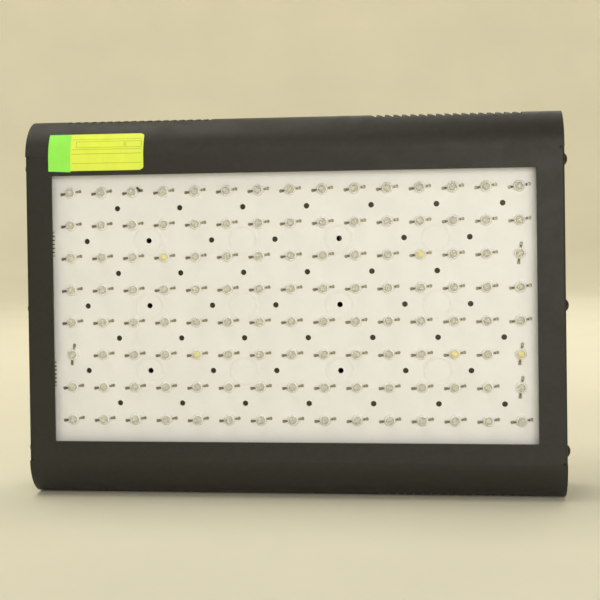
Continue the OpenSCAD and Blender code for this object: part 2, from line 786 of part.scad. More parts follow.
// Hanger: a foot riveted to the back panel and an ear that stands out from it
module hanger(sx, sz) {
    color([0.75, 0.75, 0.76]) at_back(sx * hanger_x, mid_z + sz * hanger_z) difference() {
        union() {
            rounded_box(foot_w, foot_l, ear_t, 2);
            translate([sx * foot_w / 2 - (sx > 0 ? ear_t : 0), 0, 0]) rotate([90, 0, 90])
                linear_extrude(ear_t) {
                    translate([-ear_l / 2, 0]) square([ear_l, ear_h - ear_l / 2]);
                    translate([0, ear_h - ear_l / 2]) circle(ear_l / 2);
                }
        }
        translate([-foot_w, 0, ear_h - ear_l / 2]) rotate([0, 90, 0])
            cylinder(r = ear_hole_d / 2, h = 2 * foot_w);
        for (y = [-rivet_off, rivet_off]) translate([0, y, -1])
            cylinder(r = rivet_r + hole_gap, h = 6);
        translate([0, 0, -5]) cube([4 * foot_w, 4 * foot_l, 10], center = true);
    }
}

function rivet_spots() = [
    for (sx = [-1, 1], sz = [-1, 1], y = [-rivet_off, rivet_off])
        [sx * hanger_x, mid_z + sz * hanger_z + y]
];

module hanger_rivets() {
    color([0.8, 0.8, 0.8]) for (p = rivet_spots()) at_back(p[0], p[1]) {
        translate([0, 0, ear_t]) intersection() {
            translate([0, 0, -3]) sphere(4.2);
            cylinder(r = 3.2, h = 2);
        }
        translate([0, 0, -sheet_t - 0.5]) cylinder(r = rivet_r, h = ear_t + sheet_t + 1);
        translate([0, 0, -sheet_t - 1.2]) cylinder(r = 2.8, h = 1.2);
    }
}

// Smooth curve through the route points, then a tube along it
function smooth_at(p, i, t) = let (
        a = p[max(i - 1, 0)], b = p[i], c = p[i + 1], d = p[min(i + 2, len(p) - 1)])
    0.5 * (2 * b + (c - a) * t + (2 * a - 5 * b + 4 * c - d) * t * t
        + (3 * b - a - 3 * c + d) * t * t * t);
function smooth_route(p) = concat(
    [for (i = [0:len(p) - 2], s = [0:wire_steps - 1]) smooth_at(p, i, s / wire_steps)],
    [p[len(p) - 1]]);
function ring_at(q, i) = let (
        dir = unit(q[min(i + 1, len(q) - 1)] - q[max(i - 1, 0)]),
        side = unit(cross(dir, [0.3, 1, 0.2])),
        up = cross(side, dir))
    [for (k = [0:wire_sides - 1]) q[i]
        + wire_r * (cos(k * 360 / wire_sides) * side + sin(k * 360 / wire_sides) * up)];

module wire(route) {
    q = smooth_route(route);
    n = len(q);
    points = [for (i = [0:n - 1]) each ring_at(q, i)];
    sides = [for (i = [0:n - 2], k = [0:wire_sides - 1])
        let (a = i * wire_sides, b = a + wire_sides, m = (k + 1) % wire_sides)
        each [[a + k, b + k, b + m], [a + k, b + m, a + m]]];
    first = [for (k = [0:wire_sides - 1]) k];
    last = [for (k = [wire_sides - 1:-1:0]) (n - 1) * wire_sides + k];
    polyhedron(points, concat([first], sides, [last]));
}

module mains_wire() color("saddlebrown") wire(mains_route);
module driver_feed_wire() color("royalblue") wire(feed_route);
module led_wires() color("firebrick") {
    wire(led_route_left);
    wire(led_route_right);
}
module fan_wires() color("black") {
    wire(fan_route_left);
    wire(fan_route_right);
}

front_cover();
end_plate(-1);  // left_end_plate
end_plate(1);  // right_end_plate
back_panel();
side_screws();
side_clinch_nuts();
panel_screws();
panel_clinch_nuts();
led_board();
clear_emitters();
yellow_emitters();
board_studs();
board_spacers();
board_nuts();
board_connectors();
heat_sink(-1);  // left_heat_sink
heat_sink(1);  // right_heat_sink
heat_sink_screws();
fan_frame(-1);  // left_fan_frame
fan_frame(1);  // right_fan_frame
fan_motor(-1);  // left_fan_motor
fan_motor(1);  // right_fan_motor
fan_rotor(-1);  // left_fan_rotor
fan_rotor(1);  // right_fan_rotor
fan_guard(-1);  // left_fan_guard
fan_guard(1);  // right_fan_guard
fan_screws();
power_inlet();
inlet_pins();
fuse_drawer();
fuse();
power_outlet();
outlet_contacts();
socket_screws();
switch_body(-1);  // veg_switch
switch_body(1);  // bloom_switch
rocker(-1);  // veg_rocker
rocker(1);  // bloom_rocker
led_driver(-1);  // left_led_driver
led_driver(1);  // right_led_driver
driver_screws();
fan_supply();
terminal_block();
earth_stud();
hanger(-1, 1);  // upper_left_hanger
hanger(1, 1);  // upper_right_hanger
hanger(-1, -1);  // lower_left_hanger
hanger(1, -1);  // lower_right_hanger
hanger_rivets();
mains_wire();
driver_feed_wire();
led_wires();
fan_wires();
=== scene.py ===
"""LED grow light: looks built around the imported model, in metres, +Z up, lit face towards -Y."""

import json
import math

import bpy
from mathutils import Matrix, Quaternion, Vector, noise


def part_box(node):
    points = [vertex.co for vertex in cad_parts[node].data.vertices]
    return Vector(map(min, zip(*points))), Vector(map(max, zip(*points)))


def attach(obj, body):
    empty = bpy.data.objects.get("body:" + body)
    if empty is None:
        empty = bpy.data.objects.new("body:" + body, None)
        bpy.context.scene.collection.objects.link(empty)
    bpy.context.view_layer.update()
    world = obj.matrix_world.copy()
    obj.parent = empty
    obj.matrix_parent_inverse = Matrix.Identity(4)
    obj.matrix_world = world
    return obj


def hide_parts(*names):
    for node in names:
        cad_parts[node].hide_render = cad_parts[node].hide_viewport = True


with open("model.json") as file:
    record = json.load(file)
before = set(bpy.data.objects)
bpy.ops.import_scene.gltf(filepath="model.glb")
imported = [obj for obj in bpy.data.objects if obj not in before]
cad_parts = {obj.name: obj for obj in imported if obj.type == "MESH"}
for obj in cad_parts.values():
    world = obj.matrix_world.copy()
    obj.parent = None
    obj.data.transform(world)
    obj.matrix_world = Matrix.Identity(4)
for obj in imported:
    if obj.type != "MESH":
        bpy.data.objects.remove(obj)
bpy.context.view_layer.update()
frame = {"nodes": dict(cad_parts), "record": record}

MM = 0.001
CASING = "casing"

# ---------------------------------------------------------------- places taken from the frame
cover_low, cover_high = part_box("front_cover")
FRONT_Y = cover_low[1]
BOARD_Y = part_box("led_board")[0][1]
BACK_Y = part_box("back_panel")[1][1]
MID_Z = (cover_low[2] + cover_high[2]) / 2
HALF_H = (cover_high[2] - cover_low[2]) / 2

# Emitter grid, as in the design: columns from the left and rows from the top
COLS, ROWS = 15, 8
PITCH_X, PITCH_Z = 22.5 * MM, 23 * MM
GRID_X, GRID_Z = 0.4 * MM, MID_Z + 1.4 * MM
LEAD_TURN = math.radians(8.5)
YELLOW = {(3, 2), (11, 2), (4, 5), (12, 5), (14, 5)}
UPRIGHT = {(14, 2), (0, 5), (14, 5), (14, 6)}
LIFTED = (2, 0)

# Outer radius of the cover's rolled edges
EDGE_R = 27 * MM


def led_place(col, row):
    """Middle of an emitter on the board's face."""
    x = GRID_X + (col - (COLS - 1) / 2) * PITCH_X
    z = GRID_Z + ((ROWS - 1) / 2 - row) * PITCH_Z
    return Vector((x, BOARD_Y, z))


# ---------------------------------------------------------------- camera
CAMERA_PLACE = Vector((0.1070, -0.8857, 0.1910))
CAMERA_AZIMUTH = math.radians(6.74)
CAMERA_DOWN = math.radians(0.69)
CAMERA_ROLL = math.radians(-0.79)
LENS_MM = 73.46
SENSOR_MM = 36
SHIFT_Y = -0.1003


def make_camera():
    """Camera at the photograph's viewing angle."""
    data = bpy.data.cameras.new("camera")
    data.lens = LENS_MM
    data.sensor_width = SENSOR_MM
    data.sensor_fit = "HORIZONTAL"
    data.shift_y = SHIFT_Y
    data.clip_start = 0.01
    camera = bpy.data.objects.new("camera", data)
    bpy.context.scene.collection.objects.link(camera)
    level = math.cos(CAMERA_DOWN)
    ahead = Vector((-math.sin(CAMERA_AZIMUTH) * level, math.cos(CAMERA_AZIMUTH) * level,
                    -math.sin(CAMERA_DOWN)))
    turn = ahead.to_track_quat("-Z", "Y") @ Quaternion((0, 0, 1), CAMERA_ROLL)
    camera.matrix_world = Matrix.Translation(CAMERA_PLACE) @ turn.to_matrix().to_4x4()
    bpy.context.scene.camera = camera


# ---------------------------------------------------------------- materials
class Surface:
    """A Principled material and short ways to add its nodes."""

    def __init__(self, name, color, rough, metal=0.0):
        self.material = bpy.data.materials.new(name)
        self.material.use_nodes = True
        self.tree = self.material.node_tree
        self.tree.nodes.clear()
        self.out = self.tree.nodes.new("ShaderNodeOutputMaterial")
        self.shader = self.tree.nodes.new("ShaderNodeBsdfPrincipled")
        self.tree.links.new(self.shader.outputs[0], self.out.inputs[0])
        self.set(**{"Base Color": (*color, 1), "Roughness": rough, "Metallic": metal})
        self.color = color
        self.place = self.tree.nodes.new("ShaderNodeTexCoord").outputs["Object"]
        self.bumps = None

    def set(self, **values):
        """Plain values straight on the shader's sockets."""
        for socket, value in values.items():
            self.shader.inputs[socket].default_value = value

    def stretched(self, scale):
        """Object coordinates scaled along each axis, for grain with a direction."""
        node = self.tree.nodes.new("ShaderNodeMapping")
        node.inputs["Scale"].default_value = scale
        self.tree.links.new(self.place, node.inputs["Vector"])
        return node.outputs[0]

    def noise(self, size, detail=3.0, rough=0.5, stretch=None):
        """Noise whose features are about size metres across."""
        node = self.tree.nodes.new("ShaderNodeTexNoise")
        node.inputs["Scale"].default_value = 1 / size
        node.inputs["Detail"].default_value = detail
        node.inputs["Roughness"].default_value = rough
        source = self.stretched(stretch) if stretch else self.place
        self.tree.links.new(source, node.inputs["Vector"])
        return node.outputs["Fac"]

    def cells(self, size):
        """Rounded cells about size metres across."""
        node = self.tree.nodes.new("ShaderNodeTexVoronoi")
        node.feature = "SMOOTH_F1"
        node.inputs["Scale"].default_value = 1 / size
        self.tree.links.new(self.place, node.inputs["Vector"])
        return node.outputs["Distance"]

    def ramp(self, factor, stops):
        """Colours at places along the factor."""
        node = self.tree.nodes.new("ShaderNodeValToRGB")
        ramp = node.color_ramp
        while len(ramp.elements) < len(stops):
            ramp.elements.new(0.5)
        for element, (place, color) in zip(ramp.elements, stops):
            element.position = place
            element.color = (*color, 1)
        self.tree.links.new(factor, node.inputs[0])
        return node.outputs[0]

    def tint(self, factor, low=0.85, high=1.12, edges=(0.3, 0.7)):
        """Colour that varies round the base colour with the factor."""
        dark = [c * low for c in self.color]
        light = [min(1, c * high) for c in self.color]
        color = self.ramp(factor, [(edges[0], dark), (edges[1], light)])
        self.tree.links.new(color, self.shader.inputs["Base Color"])
        return color

    def mixed(self, factor, first, second):
        """First colour where the factor is 0, and the second, a plain colour, where it is 1."""
        node = self.tree.nodes.new("ShaderNodeMix")
        node.data_type = "RGBA"
        self.tree.links.new(factor, node.inputs[0])
        self.tree.links.new(first, node.inputs[6])
        node.inputs[7].default_value = (*second, 1)
        self.tree.links.new(node.outputs[2], self.shader.inputs["Base Color"])

    def spread(self, factor, low, high, socket="Roughness", edges=(0.3, 0.7)):
        """Factor between the edges mapped to low and high, and led to the socket, if any."""
        node = self.tree.nodes.new("ShaderNodeMapRange")
        node.inputs["From Min"].default_value = edges[0]
        node.inputs["From Max"].default_value = edges[1]
        node.inputs["To Min"].default_value = low
        node.inputs["To Max"].default_value = high
        self.tree.links.new(factor, node.inputs["Value"])
        if socket:
            self.tree.links.new(node.outputs[0], self.shader.inputs[socket])
        return node.outputs[0]

    def bump(self, factor, depth, strength):
        """Relief of that depth in metres."""
        node = self.tree.nodes.new("ShaderNodeBump")
        node.inputs["Strength"].default_value = strength
        node.inputs["Distance"].default_value = depth
        self.tree.links.new(factor, node.inputs["Height"])
        if self.bumps:
            self.tree.links.new(self.bumps, node.inputs["Normal"])
        self.bumps = node.outputs[0]
        self.tree.links.new(self.bumps, self.shader.inputs["Normal"])


BLACK, WHITE = (0, 0, 0), (1, 1, 1)


def powder_coat():
    """Fine-textured charcoal powder coat with faint handling marks and a little dust."""
    s = Surface("charcoal_powder_coat", (0.022, 0.0215, 0.0165), 0.5)
    s.set(**{"Specular IOR Level": 0.36})
    tone = s.tint(s.noise(5 * MM, 8, 0.8), 0.78, 1.26)
    streaks = s.noise(3 * MM, 6, 0.75, (0.25, 1, 1))
    dust = s.tree.nodes.new("ShaderNodeMath")
    dust.operation = "MULTIPLY"
    dust.inputs[1].default_value = 0.22
    s.tree.links.new(s.ramp(streaks, [(0.66, BLACK), (0.78, WHITE)]), dust.inputs[0])
    s.mixed(dust.outputs[0], tone, (0.07, 0.068, 0.056))
    s.spread(s.noise(14 * MM, 5, 0.6), 0.42, 0.56)
    s.bump(s.noise(0.9 * MM, 3, 0.6), 0.05 * MM, 0.7)
    s.bump(s.cells(0.55 * MM), 0.035 * MM, 0.6)
    return s.material


def board_white():
    """Matt white solder mask over an aluminium core."""
    s = Surface("white_board", (0.885, 0.885, 0.875), 0.42)
    s.tint(s.noise(28 * MM, 4, 0.6), 0.965, 1.02)
    s.spread(s.noise(6 * MM, 4), 0.36, 0.5)
    s.bump(s.noise(0.5 * MM, 3, 0.6), 0.012 * MM, 0.5)
    s.bump(s.noise(12 * MM, 3, 0.5), 0.05 * MM, 0.5)
    return s.material


def lead_silver():
    """Silver-plated lead frame, darkened to a dull olive: partly tarnish, partly a painted dark
    reflection.
    """
    s = Surface("lead_silver", (0.33, 0.30, 0.20), 0.42, 0.85)
    s.tint(s.noise(0.9 * MM, 4, 0.65), 0.5, 1.2)
    s.spread(s.noise(0.5 * MM, 3), 0.26, 0.5)
    s.bump(s.noise(0.25 * MM, 2), 0.01 * MM, 0.5)
    return s.material


def dark_lead():
    """Lead blackened by heat."""
    s = Surface("dark_lead", (0.05, 0.042, 0.025), 0.45, 0.5)
    s.tint(s.noise(0.6 * MM, 4, 0.65), 0.6, 1.5)
    s.bump(s.noise(0.25 * MM, 2), 0.01 * MM, 0.5)
    return s.material


def ring_white():
    """White mask over a low pressed disc."""
    s = Surface("ring_white", (0.865, 0.865, 0.85), 0.48)
    s.tint(s.noise(3 * MM, 4, 0.65), 0.96, 1.03)
    s.bump(s.noise(0.5 * MM, 3, 0.6), 0.012 * MM, 0.5)
    return s.material


def solder():
    """Tinned joint, a little rough."""
    s = Surface("solder", (0.55, 0.54, 0.5), 0.28, 1.0)
    s.tint(s.noise(0.4 * MM, 3), 0.6, 1.15)
    s.bump(s.noise(0.3 * MM, 3), 0.03 * MM, 0.6)
    return s.material


def emitter_body():
    """White moulded resin that lets a little light through."""
    s = Surface("emitter_body", (0.92, 0.92, 0.89), 0.42)
    s.tint(s.noise(2 * MM, 3), 0.94, 1.03)
    s.bump(s.noise(0.3 * MM, 2), 0.01 * MM, 0.4)
    s.set(**{"Subsurface Weight": 0.15, "Subsurface Radius": (1, 0.9, 0.8),
             "Subsurface Scale": MM})
    return s.material


def clear_dome():
    """Silicone lens, partly milky, so that the cup under it isn't too dark."""
    s = Surface("clear_dome", (1.0, 0.98, 0.90), 0.06)
    s.set(**{"Transmission Weight": 0.62, "IOR": 1.36})
    s.spread(s.noise(1.5 * MM, 3), 0.03, 0.12)
    s.bump(s.noise(0.8 * MM, 2), 0.006 * MM, 0.4)
    return s.material


def phosphor_dome():
    """Lens filled with yellow phosphor."""
    s = Surface("phosphor_dome", (0.86, 0.79, 0.42), 0.2)
    s.tint(s.noise(1.2 * MM, 3), 0.88, 1.1)
    s.set(**{"Subsurface Weight": 0.3, "Subsurface Radius": (1, 0.7, 0.2), "Subsurface Scale": MM,
             "Coat Weight": 0.6, "Coat Roughness": 0.06})
    s.bump(s.noise(0.8 * MM, 2), 0.006 * MM, 0.4)
    return s.material


def reflector():
    """Cup under the lens. Its tint changes from emitter to emitter, as the chips' colours do."""
    s = Surface("reflector", (0.99, 0.97, 0.82), 0.5)
    blend = s.ramp(s.noise(19 * MM, 1), [(0.44, BLACK), (0.56, WHITE)])
    s.mixed(blend, s.tint(s.noise(0.7 * MM, 3), 0.9, 1.06), (0.95, 0.82, 0.73))
    s.bump(s.noise(0.3 * MM, 2), 0.01 * MM, 0.4)
    return s.material


def chip():
    """Pale die at the middle of the cup."""
    s = Surface("chip", (0.70, 0.68, 0.50), 0.3)
    s.tint(s.noise(0.25 * MM, 2), 0.7, 1.3)
    return s.material


def bond_wire():
    """Fine gold wire, dulled by the lens over it."""
    s = Surface("bond_wire", (0.40, 0.38, 0.22), 0.4, 0.2)
    s.tint(s.noise(0.4 * MM, 2), 0.7, 1.3)
    s.bump(s.noise(0.2 * MM, 2), 0.005 * MM, 0.4)
    return s.material


def anodised():
    """Black anodised extrusion, with die lines along the fins."""
    s = Surface("black_anodised", (0.040, 0.036, 0.024), 0.45, 0.4)
    s.tint(s.noise(3 * MM, 5, 0.6, (1, 1, 0.05)), 0.75, 1.25)
    s.spread(s.noise(1.2 * MM, 4, 0.6, (1, 1, 0.03)), 0.32, 0.52)
    s.bump(s.noise(0.35 * MM, 3, 0.6, (1, 1, 0.01)), 0.02 * MM, 0.6)
    return s.material


def bare_aluminium():
    """Milled or extruded aluminium with marks along X."""
    s = Surface("bare_aluminium", (0.66, 0.66, 0.67), 0.36, 1.0)
    s.tint(s.noise(5 * MM, 4), 0.85, 1.08)
    s.spread(s.noise(1.5 * MM, 4, 0.6, (0.05, 1, 1)), 0.28, 0.46)
    s.bump(s.noise(0.3 * MM, 3, 0.6, (0.03, 1, 1)), 0.015 * MM, 0.5)
    return s.material


def zinc_steel():
    """Zinc-plated steel with a faint grey-yellow bloom."""
    s = Surface("zinc_steel", (0.60, 0.60, 0.57), 0.34, 1.0)
    s.mixed(s.spread(s.noise(4 * MM, 4, 0.6), 0, 0.35, None, (0.45, 0.75)),
            s.tint(s.noise(1.5 * MM, 4), 0.8, 1.1), (0.55, 0.50, 0.36))
    s.spread(s.noise(2 * MM, 4), 0.25, 0.45)
    s.bump(s.noise(0.3 * MM, 3), 0.012 * MM, 0.5)
    return s.material


def black_screw():
    """Black oxide, rubbed bright here and there."""
    s = Surface("black_screw", (0.022, 0.022, 0.022), 0.34, 0.7)
    s.mixed(s.spread(s.noise(0.8 * MM, 5, 0.7), 0, 0.5, None, (0.62, 0.8)),
            s.tint(s.noise(1.5 * MM, 3), 0.7, 1.3), (0.18, 0.18, 0.18))
    s.spread(s.noise(0.7 * MM, 3), 0.25, 0.5)
    s.bump(s.noise(0.25 * MM, 3), 0.012 * MM, 0.5)
    return s.material


def guard_wire():
    """Bright nickel-plated wire."""
    s = Surface("guard_wire", (0.74, 0.74, 0.75), 0.14, 1.0)
    s.tint(s.noise(3 * MM, 4), 0.82, 1.05)
    s.spread(s.noise(1 * MM, 4), 0.09, 0.26)
    s.bump(s.noise(0.4 * MM, 3), 0.01 * MM, 0.4)
    return s.material


def black_plastic(name="black_plastic", rough=0.45):
    """Moulded black plastic with a fine eroded grain."""
    s = Surface(name, (0.022, 0.022, 0.023), rough)
    s.tint(s.noise(6 * MM, 4), 0.8, 1.25)
    s.spread(s.noise(2 * MM, 4), rough - 0.08, rough + 0.1)
    s.bump(s.noise(0.22 * MM, 3, 0.6), 0.012 * MM, 0.6)
    return s.material


def winding():
    """Enamelled copper wire, wound in fine turns."""
    s = Surface("motor_winding", (0.55, 0.22, 0.07), 0.3, 0.8)
    s.tint(s.noise(0.25 * MM, 2, 0.5, (1, 8, 1)), 0.5, 1.3)
    s.bump(s.noise(0.25 * MM, 2, 0.5, (1, 8, 1)), 0.08 * MM, 0.8)
    return s.material


def contact_metal():
    """Nickel-plated contact with drawing marks along Y."""
    s = Surface("contact_metal", (0.72, 0.70, 0.64), 0.25, 1.0)
    s.tint(s.noise(2 * MM, 4), 0.8, 1.08)
    s.bump(s.noise(0.2 * MM, 3, 0.6, (1, 0.05, 1)), 0.008 * MM, 0.5)
    return s.material


def brass():
    """Turned brass, browned in places."""
    s = Surface("brass_hardware", (0.72, 0.52, 0.22), 0.3, 1.0)
    s.tint(s.noise(1.5 * MM, 4), 0.7, 1.1)
    s.bump(s.noise(0.25 * MM, 3), 0.01 * MM, 0.5)
    return s.material


def ivory_plastic():
    """Natural nylon of wire plugs."""
    s = Surface("ivory_plastic", (0.72, 0.70, 0.60), 0.4)
    s.tint(s.noise(8 * MM, 4), 0.93, 1.05)
    s.bump(s.noise(0.25 * MM, 3), 0.01 * MM, 0.5)
    return s.material


def ceramic():
    """Glazed fuse body."""
    s = Surface("ceramic_fuse", (0.80, 0.77, 0.68), 0.2)
    s.tint(s.noise(3 * MM, 3), 0.92, 1.05)
    s.set(**{"Coat Weight": 0.4, "Coat Roughness": 0.1})
    return s.material


def insulation(name, color):
    """Soft vinyl of a wire."""
    s = Surface(name, color, 0.42)
    s.tint(s.noise(4 * MM, 3), 0.8, 1.15)
    s.bump(s.noise(0.3 * MM, 3), 0.01 * MM, 0.5)
    return s.material


def paper(name, color):
    """Matt coloured label paper with a fibre grain."""
    s = Surface(name, color, 0.6)
    s.tint(s.noise(10 * MM, 4), 0.95, 1.04)
    s.bump(s.noise(0.35 * MM, 4, 0.7), 0.012 * MM, 0.6)
    return s.material


def backdrop_cloth():
    """Matt cream backdrop with a broad, faint mottle."""
    s = Surface("backdrop", (0.90, 0.86, 0.72), 0.85)
    s.tint(s.noise(0.25, 4), 0.97, 1.02)
    s.set(**{"Specular IOR Level": 0.15})
    return s.material


MATERIALS = {
    "charcoal_powder_coat": powder_coat(),
    "white_board": board_white(),
    "black_anodised": anodised(),
    "bare_aluminium": bare_aluminium(),
    "zinc_steel": zinc_steel(),
    "black_screw": black_screw(),
    "guard_wire": guard_wire(),
    "black_plastic": black_plastic(),
    "gloss_black_plastic": black_plastic("gloss_black_plastic", 0.22),
    "motor_winding": winding(),
    "contact_metal": contact_metal(),
    "brass_hardware": brass(),
    "ivory_plastic": ivory_plastic(),
    "ceramic_fuse": ceramic(),
    "wire_brown": insulation("wire_brown", (0.20, 0.09, 0.04)),
    "wire_blue": insulation("wire_blue", (0.05, 0.12, 0.42)),
    "wire_red": insulation("wire_red", (0.48, 0.04, 0.03)),
    "wire_black": insulation("wire_black", (0.025, 0.025, 0.025)),
}


def dress_frame():
    """Gives every CAD node the finish of its material slot."""
    for row in frame["record"]["subparts"]:
        material = MATERIALS.get(row["material_slot"])
        slots = frame["nodes"][row["node"]].data.materials
        if material:
            if not slots:
                slots.append(material)
            for i in range(len(slots)):
                slots[i] = material


# ---------------------------------------------------------------- meshes
class Shape:
    """Vertices and faces in local millimetres, with ways to add to them."""

    def __init__(self):
        self.verts = []
        self.faces = []

    def add(self, verts, faces):
        """More vertices, and faces that count from the first of them."""
        start = len(self.verts)
        self.verts += [Vector(v) for v in verts]
        self.faces += [tuple(start + i for i in f) for f in faces]
        return self

    def join(self, other, matrix=Matrix()):
        """A copy of another shape, placed by the matrix."""
        return self.add([matrix @ v for v in other.verts], other.faces)

    def lathe(self, profile, segments):
        """Turns (radius, height) points about Z. A radius of 0 closes an end."""
        verts, rings = [], []
        for r, z in profile:
            if r <= 0:
                rings.append([len(verts)])
                verts.append((0, 0, z))
            else:
                rings.append(list(range(len(verts), len(verts) + segments)))
                verts += [(r * math.cos(a), r * math.sin(a), z)
                          for a in (2 * math.pi * k / segments for k in range(segments))]
        faces = []
        for low, high in zip(rings, rings[1:]):
            for k in range(segments):
                m = (k + 1) % segments
                a, b = low[k % len(low)], low[m % len(low)]
                c, d = high[m % len(high)], high[k % len(high)]
                faces.append(tuple(dict.fromkeys((a, b, c, d))))
        return self.add(verts, faces)

    def grid(self, points):
        """Quads over rows of points."""
        rows, cols = len(points), len(points[0])
        faces = [(r * cols + c, r * cols + c + 1, (r + 1) * cols + c + 1, (r + 1) * cols + c)
                 for r in range(rows - 1) for c in range(cols - 1)]
        return self.add([p for row in points for p in row], faces)

    def block(self, size, bevel, place=(0, 0, 0)):
        """Box centred on place, its upright edges and top edges cut back by bevel."""
        x, y, z = (s / 2 for s in size)
        layers = [(0, -z), (0, z - bevel), (bevel, z)]
        least_cut = 0.02 * min(x, y)
        verts = []
        for inset, height in layers:
            a, b, c = x - inset, y - inset, max(bevel, least_cut)
            ring = [(a - c, -b), (a, -b + c), (a, b - c), (a - c, b),
                    (-a + c, b), (-a, b - c), (-a, -b + c), (-a + c, -b)]
            verts += [(px + place[0], py + place[1], height + place[2]) for px, py in ring]
        n = len(ring)
        faces = [(i * n + k, i * n + (k + 1) % n, (i + 1) * n + (k + 1) % n, (i + 1) * n + k)
                 for i in range(len(layers) - 1) for k in range(n)]
        faces += [tuple(range(n - 1, -1, -1)), tuple(range(len(verts) - n, len(verts)))]
        return self.add(verts, faces)

    def build(self, name, material, body, slot, smooth):
        """The shape as a piece on a body. Edges sharper than smooth degrees stay sharp."""
        mesh = bpy.data.meshes.new(name)
        mesh.from_pydata([tuple(v * MM) for v in self.verts], [], self.faces)
        mesh.validate()
        mesh.materials.append(material)
        mesh.shade_smooth()
        mesh.set_sharp_from_angle(angle=math.radians(smooth))
        piece = bpy.data.objects.new(name, mesh)
        bpy.context.scene.collection.objects.link(piece)
        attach(piece, body)
        return piece


# Local +z out of the front, x to the right and y up, in millimetres
FRONTWARD = Matrix(((1, 0, 0), (0, 0, -1), (0, 1, 0))).to_4x4()
# Local +z out of the back, x to the right as seen from behind and y up
BACKWARD = Matrix(((-1, 0, 0), (0, 0, 1), (0, 1, 0))).to_4x4()


def front_place(point, turn=0.0):
    """Matrix to a point in metres on a face that looks forward, turned about its normal."""
    return Matrix.Translation(Vector(point) / MM) @ FRONTWARD @ Matrix.Rotation(turn, 4, "Z")


def back_place(point):
    """Matrix to a point in metres on a face that looks back."""
    return Matrix.Translation(Vector(point) / MM) @ BACKWARD


# ---------------------------------------------------------------- emitters
# Shapes in millimetres: z is the height over the board, and the leads run along x
CHIP_TURN = Matrix.Rotation(math.radians(-40), 4, "Z")


def body_shape():
    """Moulded ring that holds the lens, open at its middle."""
    return Shape().lathe([(2.55, 1.2), (2.75, 2.3), (2.95, 2.4), (3.3, 2.2), (3.65, 1.7),
                          (3.9, 1.0), (4.0, 0.0)], 40)


def dome_shape():
    """Lens: a dome on a short collar, closed by a flat bottom."""
    radius, rise, base = 2.75, 3.0, 2.25
    bottom, collar, steps = 1.35, 2.6, 9
    arc = [(radius * math.cos(a), base + rise * math.sin(a))
           for a in (math.pi / 2 * k / steps for k in range(steps))]
    outline = [(0, bottom), (collar, bottom), (radius, bottom + 0.25), *arc, (0, base + rise)]
    return Shape().lathe(outline, 32)


def cup_shape():
    """Flat-bottomed reflector cup."""
    return Shape().lathe([(2.5, 1.3), (1.5, 0.75), (0, 0.75)], 28)


def chip_shape():
    """Square die on the bottom of the cup."""
    return Shape().join(Shape().block((1.15, 1.15, 0.2), 0.04, (0, 0, 0.86)), CHIP_TURN)


def bond_shape():
    """Two wires over the chip, and a shorter one outside each."""
    wires = Shape()
    for side in (-1, 1):
        wires.block((3.1, 0.26, 0.18), 0.05, (0, 0.72 * side, 1.02))
        wires.block((1.5, 0.2, 0.16), 0.05, (0.3 * side, 1.4 * side, 0.98))
    return Shape().join(wires, CHIP_TURN)


def lead_shape():
    """Both leads: flat strip out of the body, bent down to a wide foot on the board."""
    # Distance from the emitter's middle, height and half width
    path = [(3.5, 1.35, 0.55), (4.3, 1.35, 0.55), (4.75, 1.2, 0.7), (5.05, 0.75, 0.8),
            (5.35, 0.45, 0.85), (5.9, 0.36, 0.9), (7.0, 0.36, 0.9), (7.35, 0.36, 0.7),
            (7.5, 0.36, 0.45)]
    thick = 0.32
    n = len(path)
    leads = Shape()
    for side in (-1, 1):
        verts = [(side * x, edge * side * w, z + thick / 2)
                 for edge in (-1, 1) for x, z, w in path]
        verts += [(x, y, z - thick) for x, y, z in verts]
        faces = []
        for i in range(n - 1):
            faces.append((i, i + 1, n + i + 1, n + i))
            faces.append((2 * n + i, 3 * n + i, 3 * n + i + 1, 2 * n + i + 1))
            faces.append((i, 2 * n + i, 2 * n + i + 1, i + 1))
            faces.append((n + i, n + i + 1, 3 * n + i + 1, 3 * n + i))
        faces.append((0, n, 3 * n, 2 * n))
        faces.append((n - 1, 3 * n - 1, 4 * n - 1, 2 * n - 1))
        leads.add(verts, faces)
    return leads


def solder_shape():
    """Fillet round the end of each foot."""
    foot = 6.9
    fillets = Shape()
    mound = Shape().lathe([(1.35, 0), (1.2, 0.12), (0.95, 0.24), (0.5, 0.34), (0, 0.36)], 20)
    narrowed = Matrix.Diagonal((0.75, 0.95, 1, 1))
    for side in (-1, 1):
        fillets.join(mound, Matrix.Translation((side * foot, 0, 0)) @ narrowed)
    return fillets


def make_emitters():
    """All 120 emitters: one piece for each kind of part."""
    parts = {
        "emitter_rings": (body_shape(), emitter_body(), "clear_emitter"),
        "emitter_leads": (lead_shape(), lead_silver(), "clear_emitter"),
        "emitter_cups": (cup_shape(), reflector(), "clear_emitter"),
        "emitter_chips": (chip_shape(), chip(), "clear_emitter"),
        "bond_wires": (bond_shape(), bond_wire(), "clear_emitter"),
        "emitter_solder": (solder_shape(), solder(), "clear_emitter"),
    }
    groups = {name: Shape() for name in parts}
    clear, yellow = Shape(), Shape()
    dome = dome_shape()
    for row in range(ROWS):
        for col in range(COLS):
            turn = math.pi / 2 - LEAD_TURN if (col, row) in UPRIGHT else LEAD_TURN
            place = front_place(led_place(col, row), turn)
            for name, (shape, _, _) in parts.items():
                groups[name].join(shape, place)
            (yellow if (col, row) in YELLOW else clear).join(dome, place)
    for name, (_, material, slot) in parts.items():
        groups[name].build(name, material, CASING, slot, 40)
    clear_lenses = clear.build("clear_lenses", clear_dome(), CASING, "clear_emitter", 60)
    yellow_lenses = yellow.build("yellow_lenses", phosphor_dome(), CASING, "yellow_emitter", 60)
    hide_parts("clear_emitters")
    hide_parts("yellow_emitters")


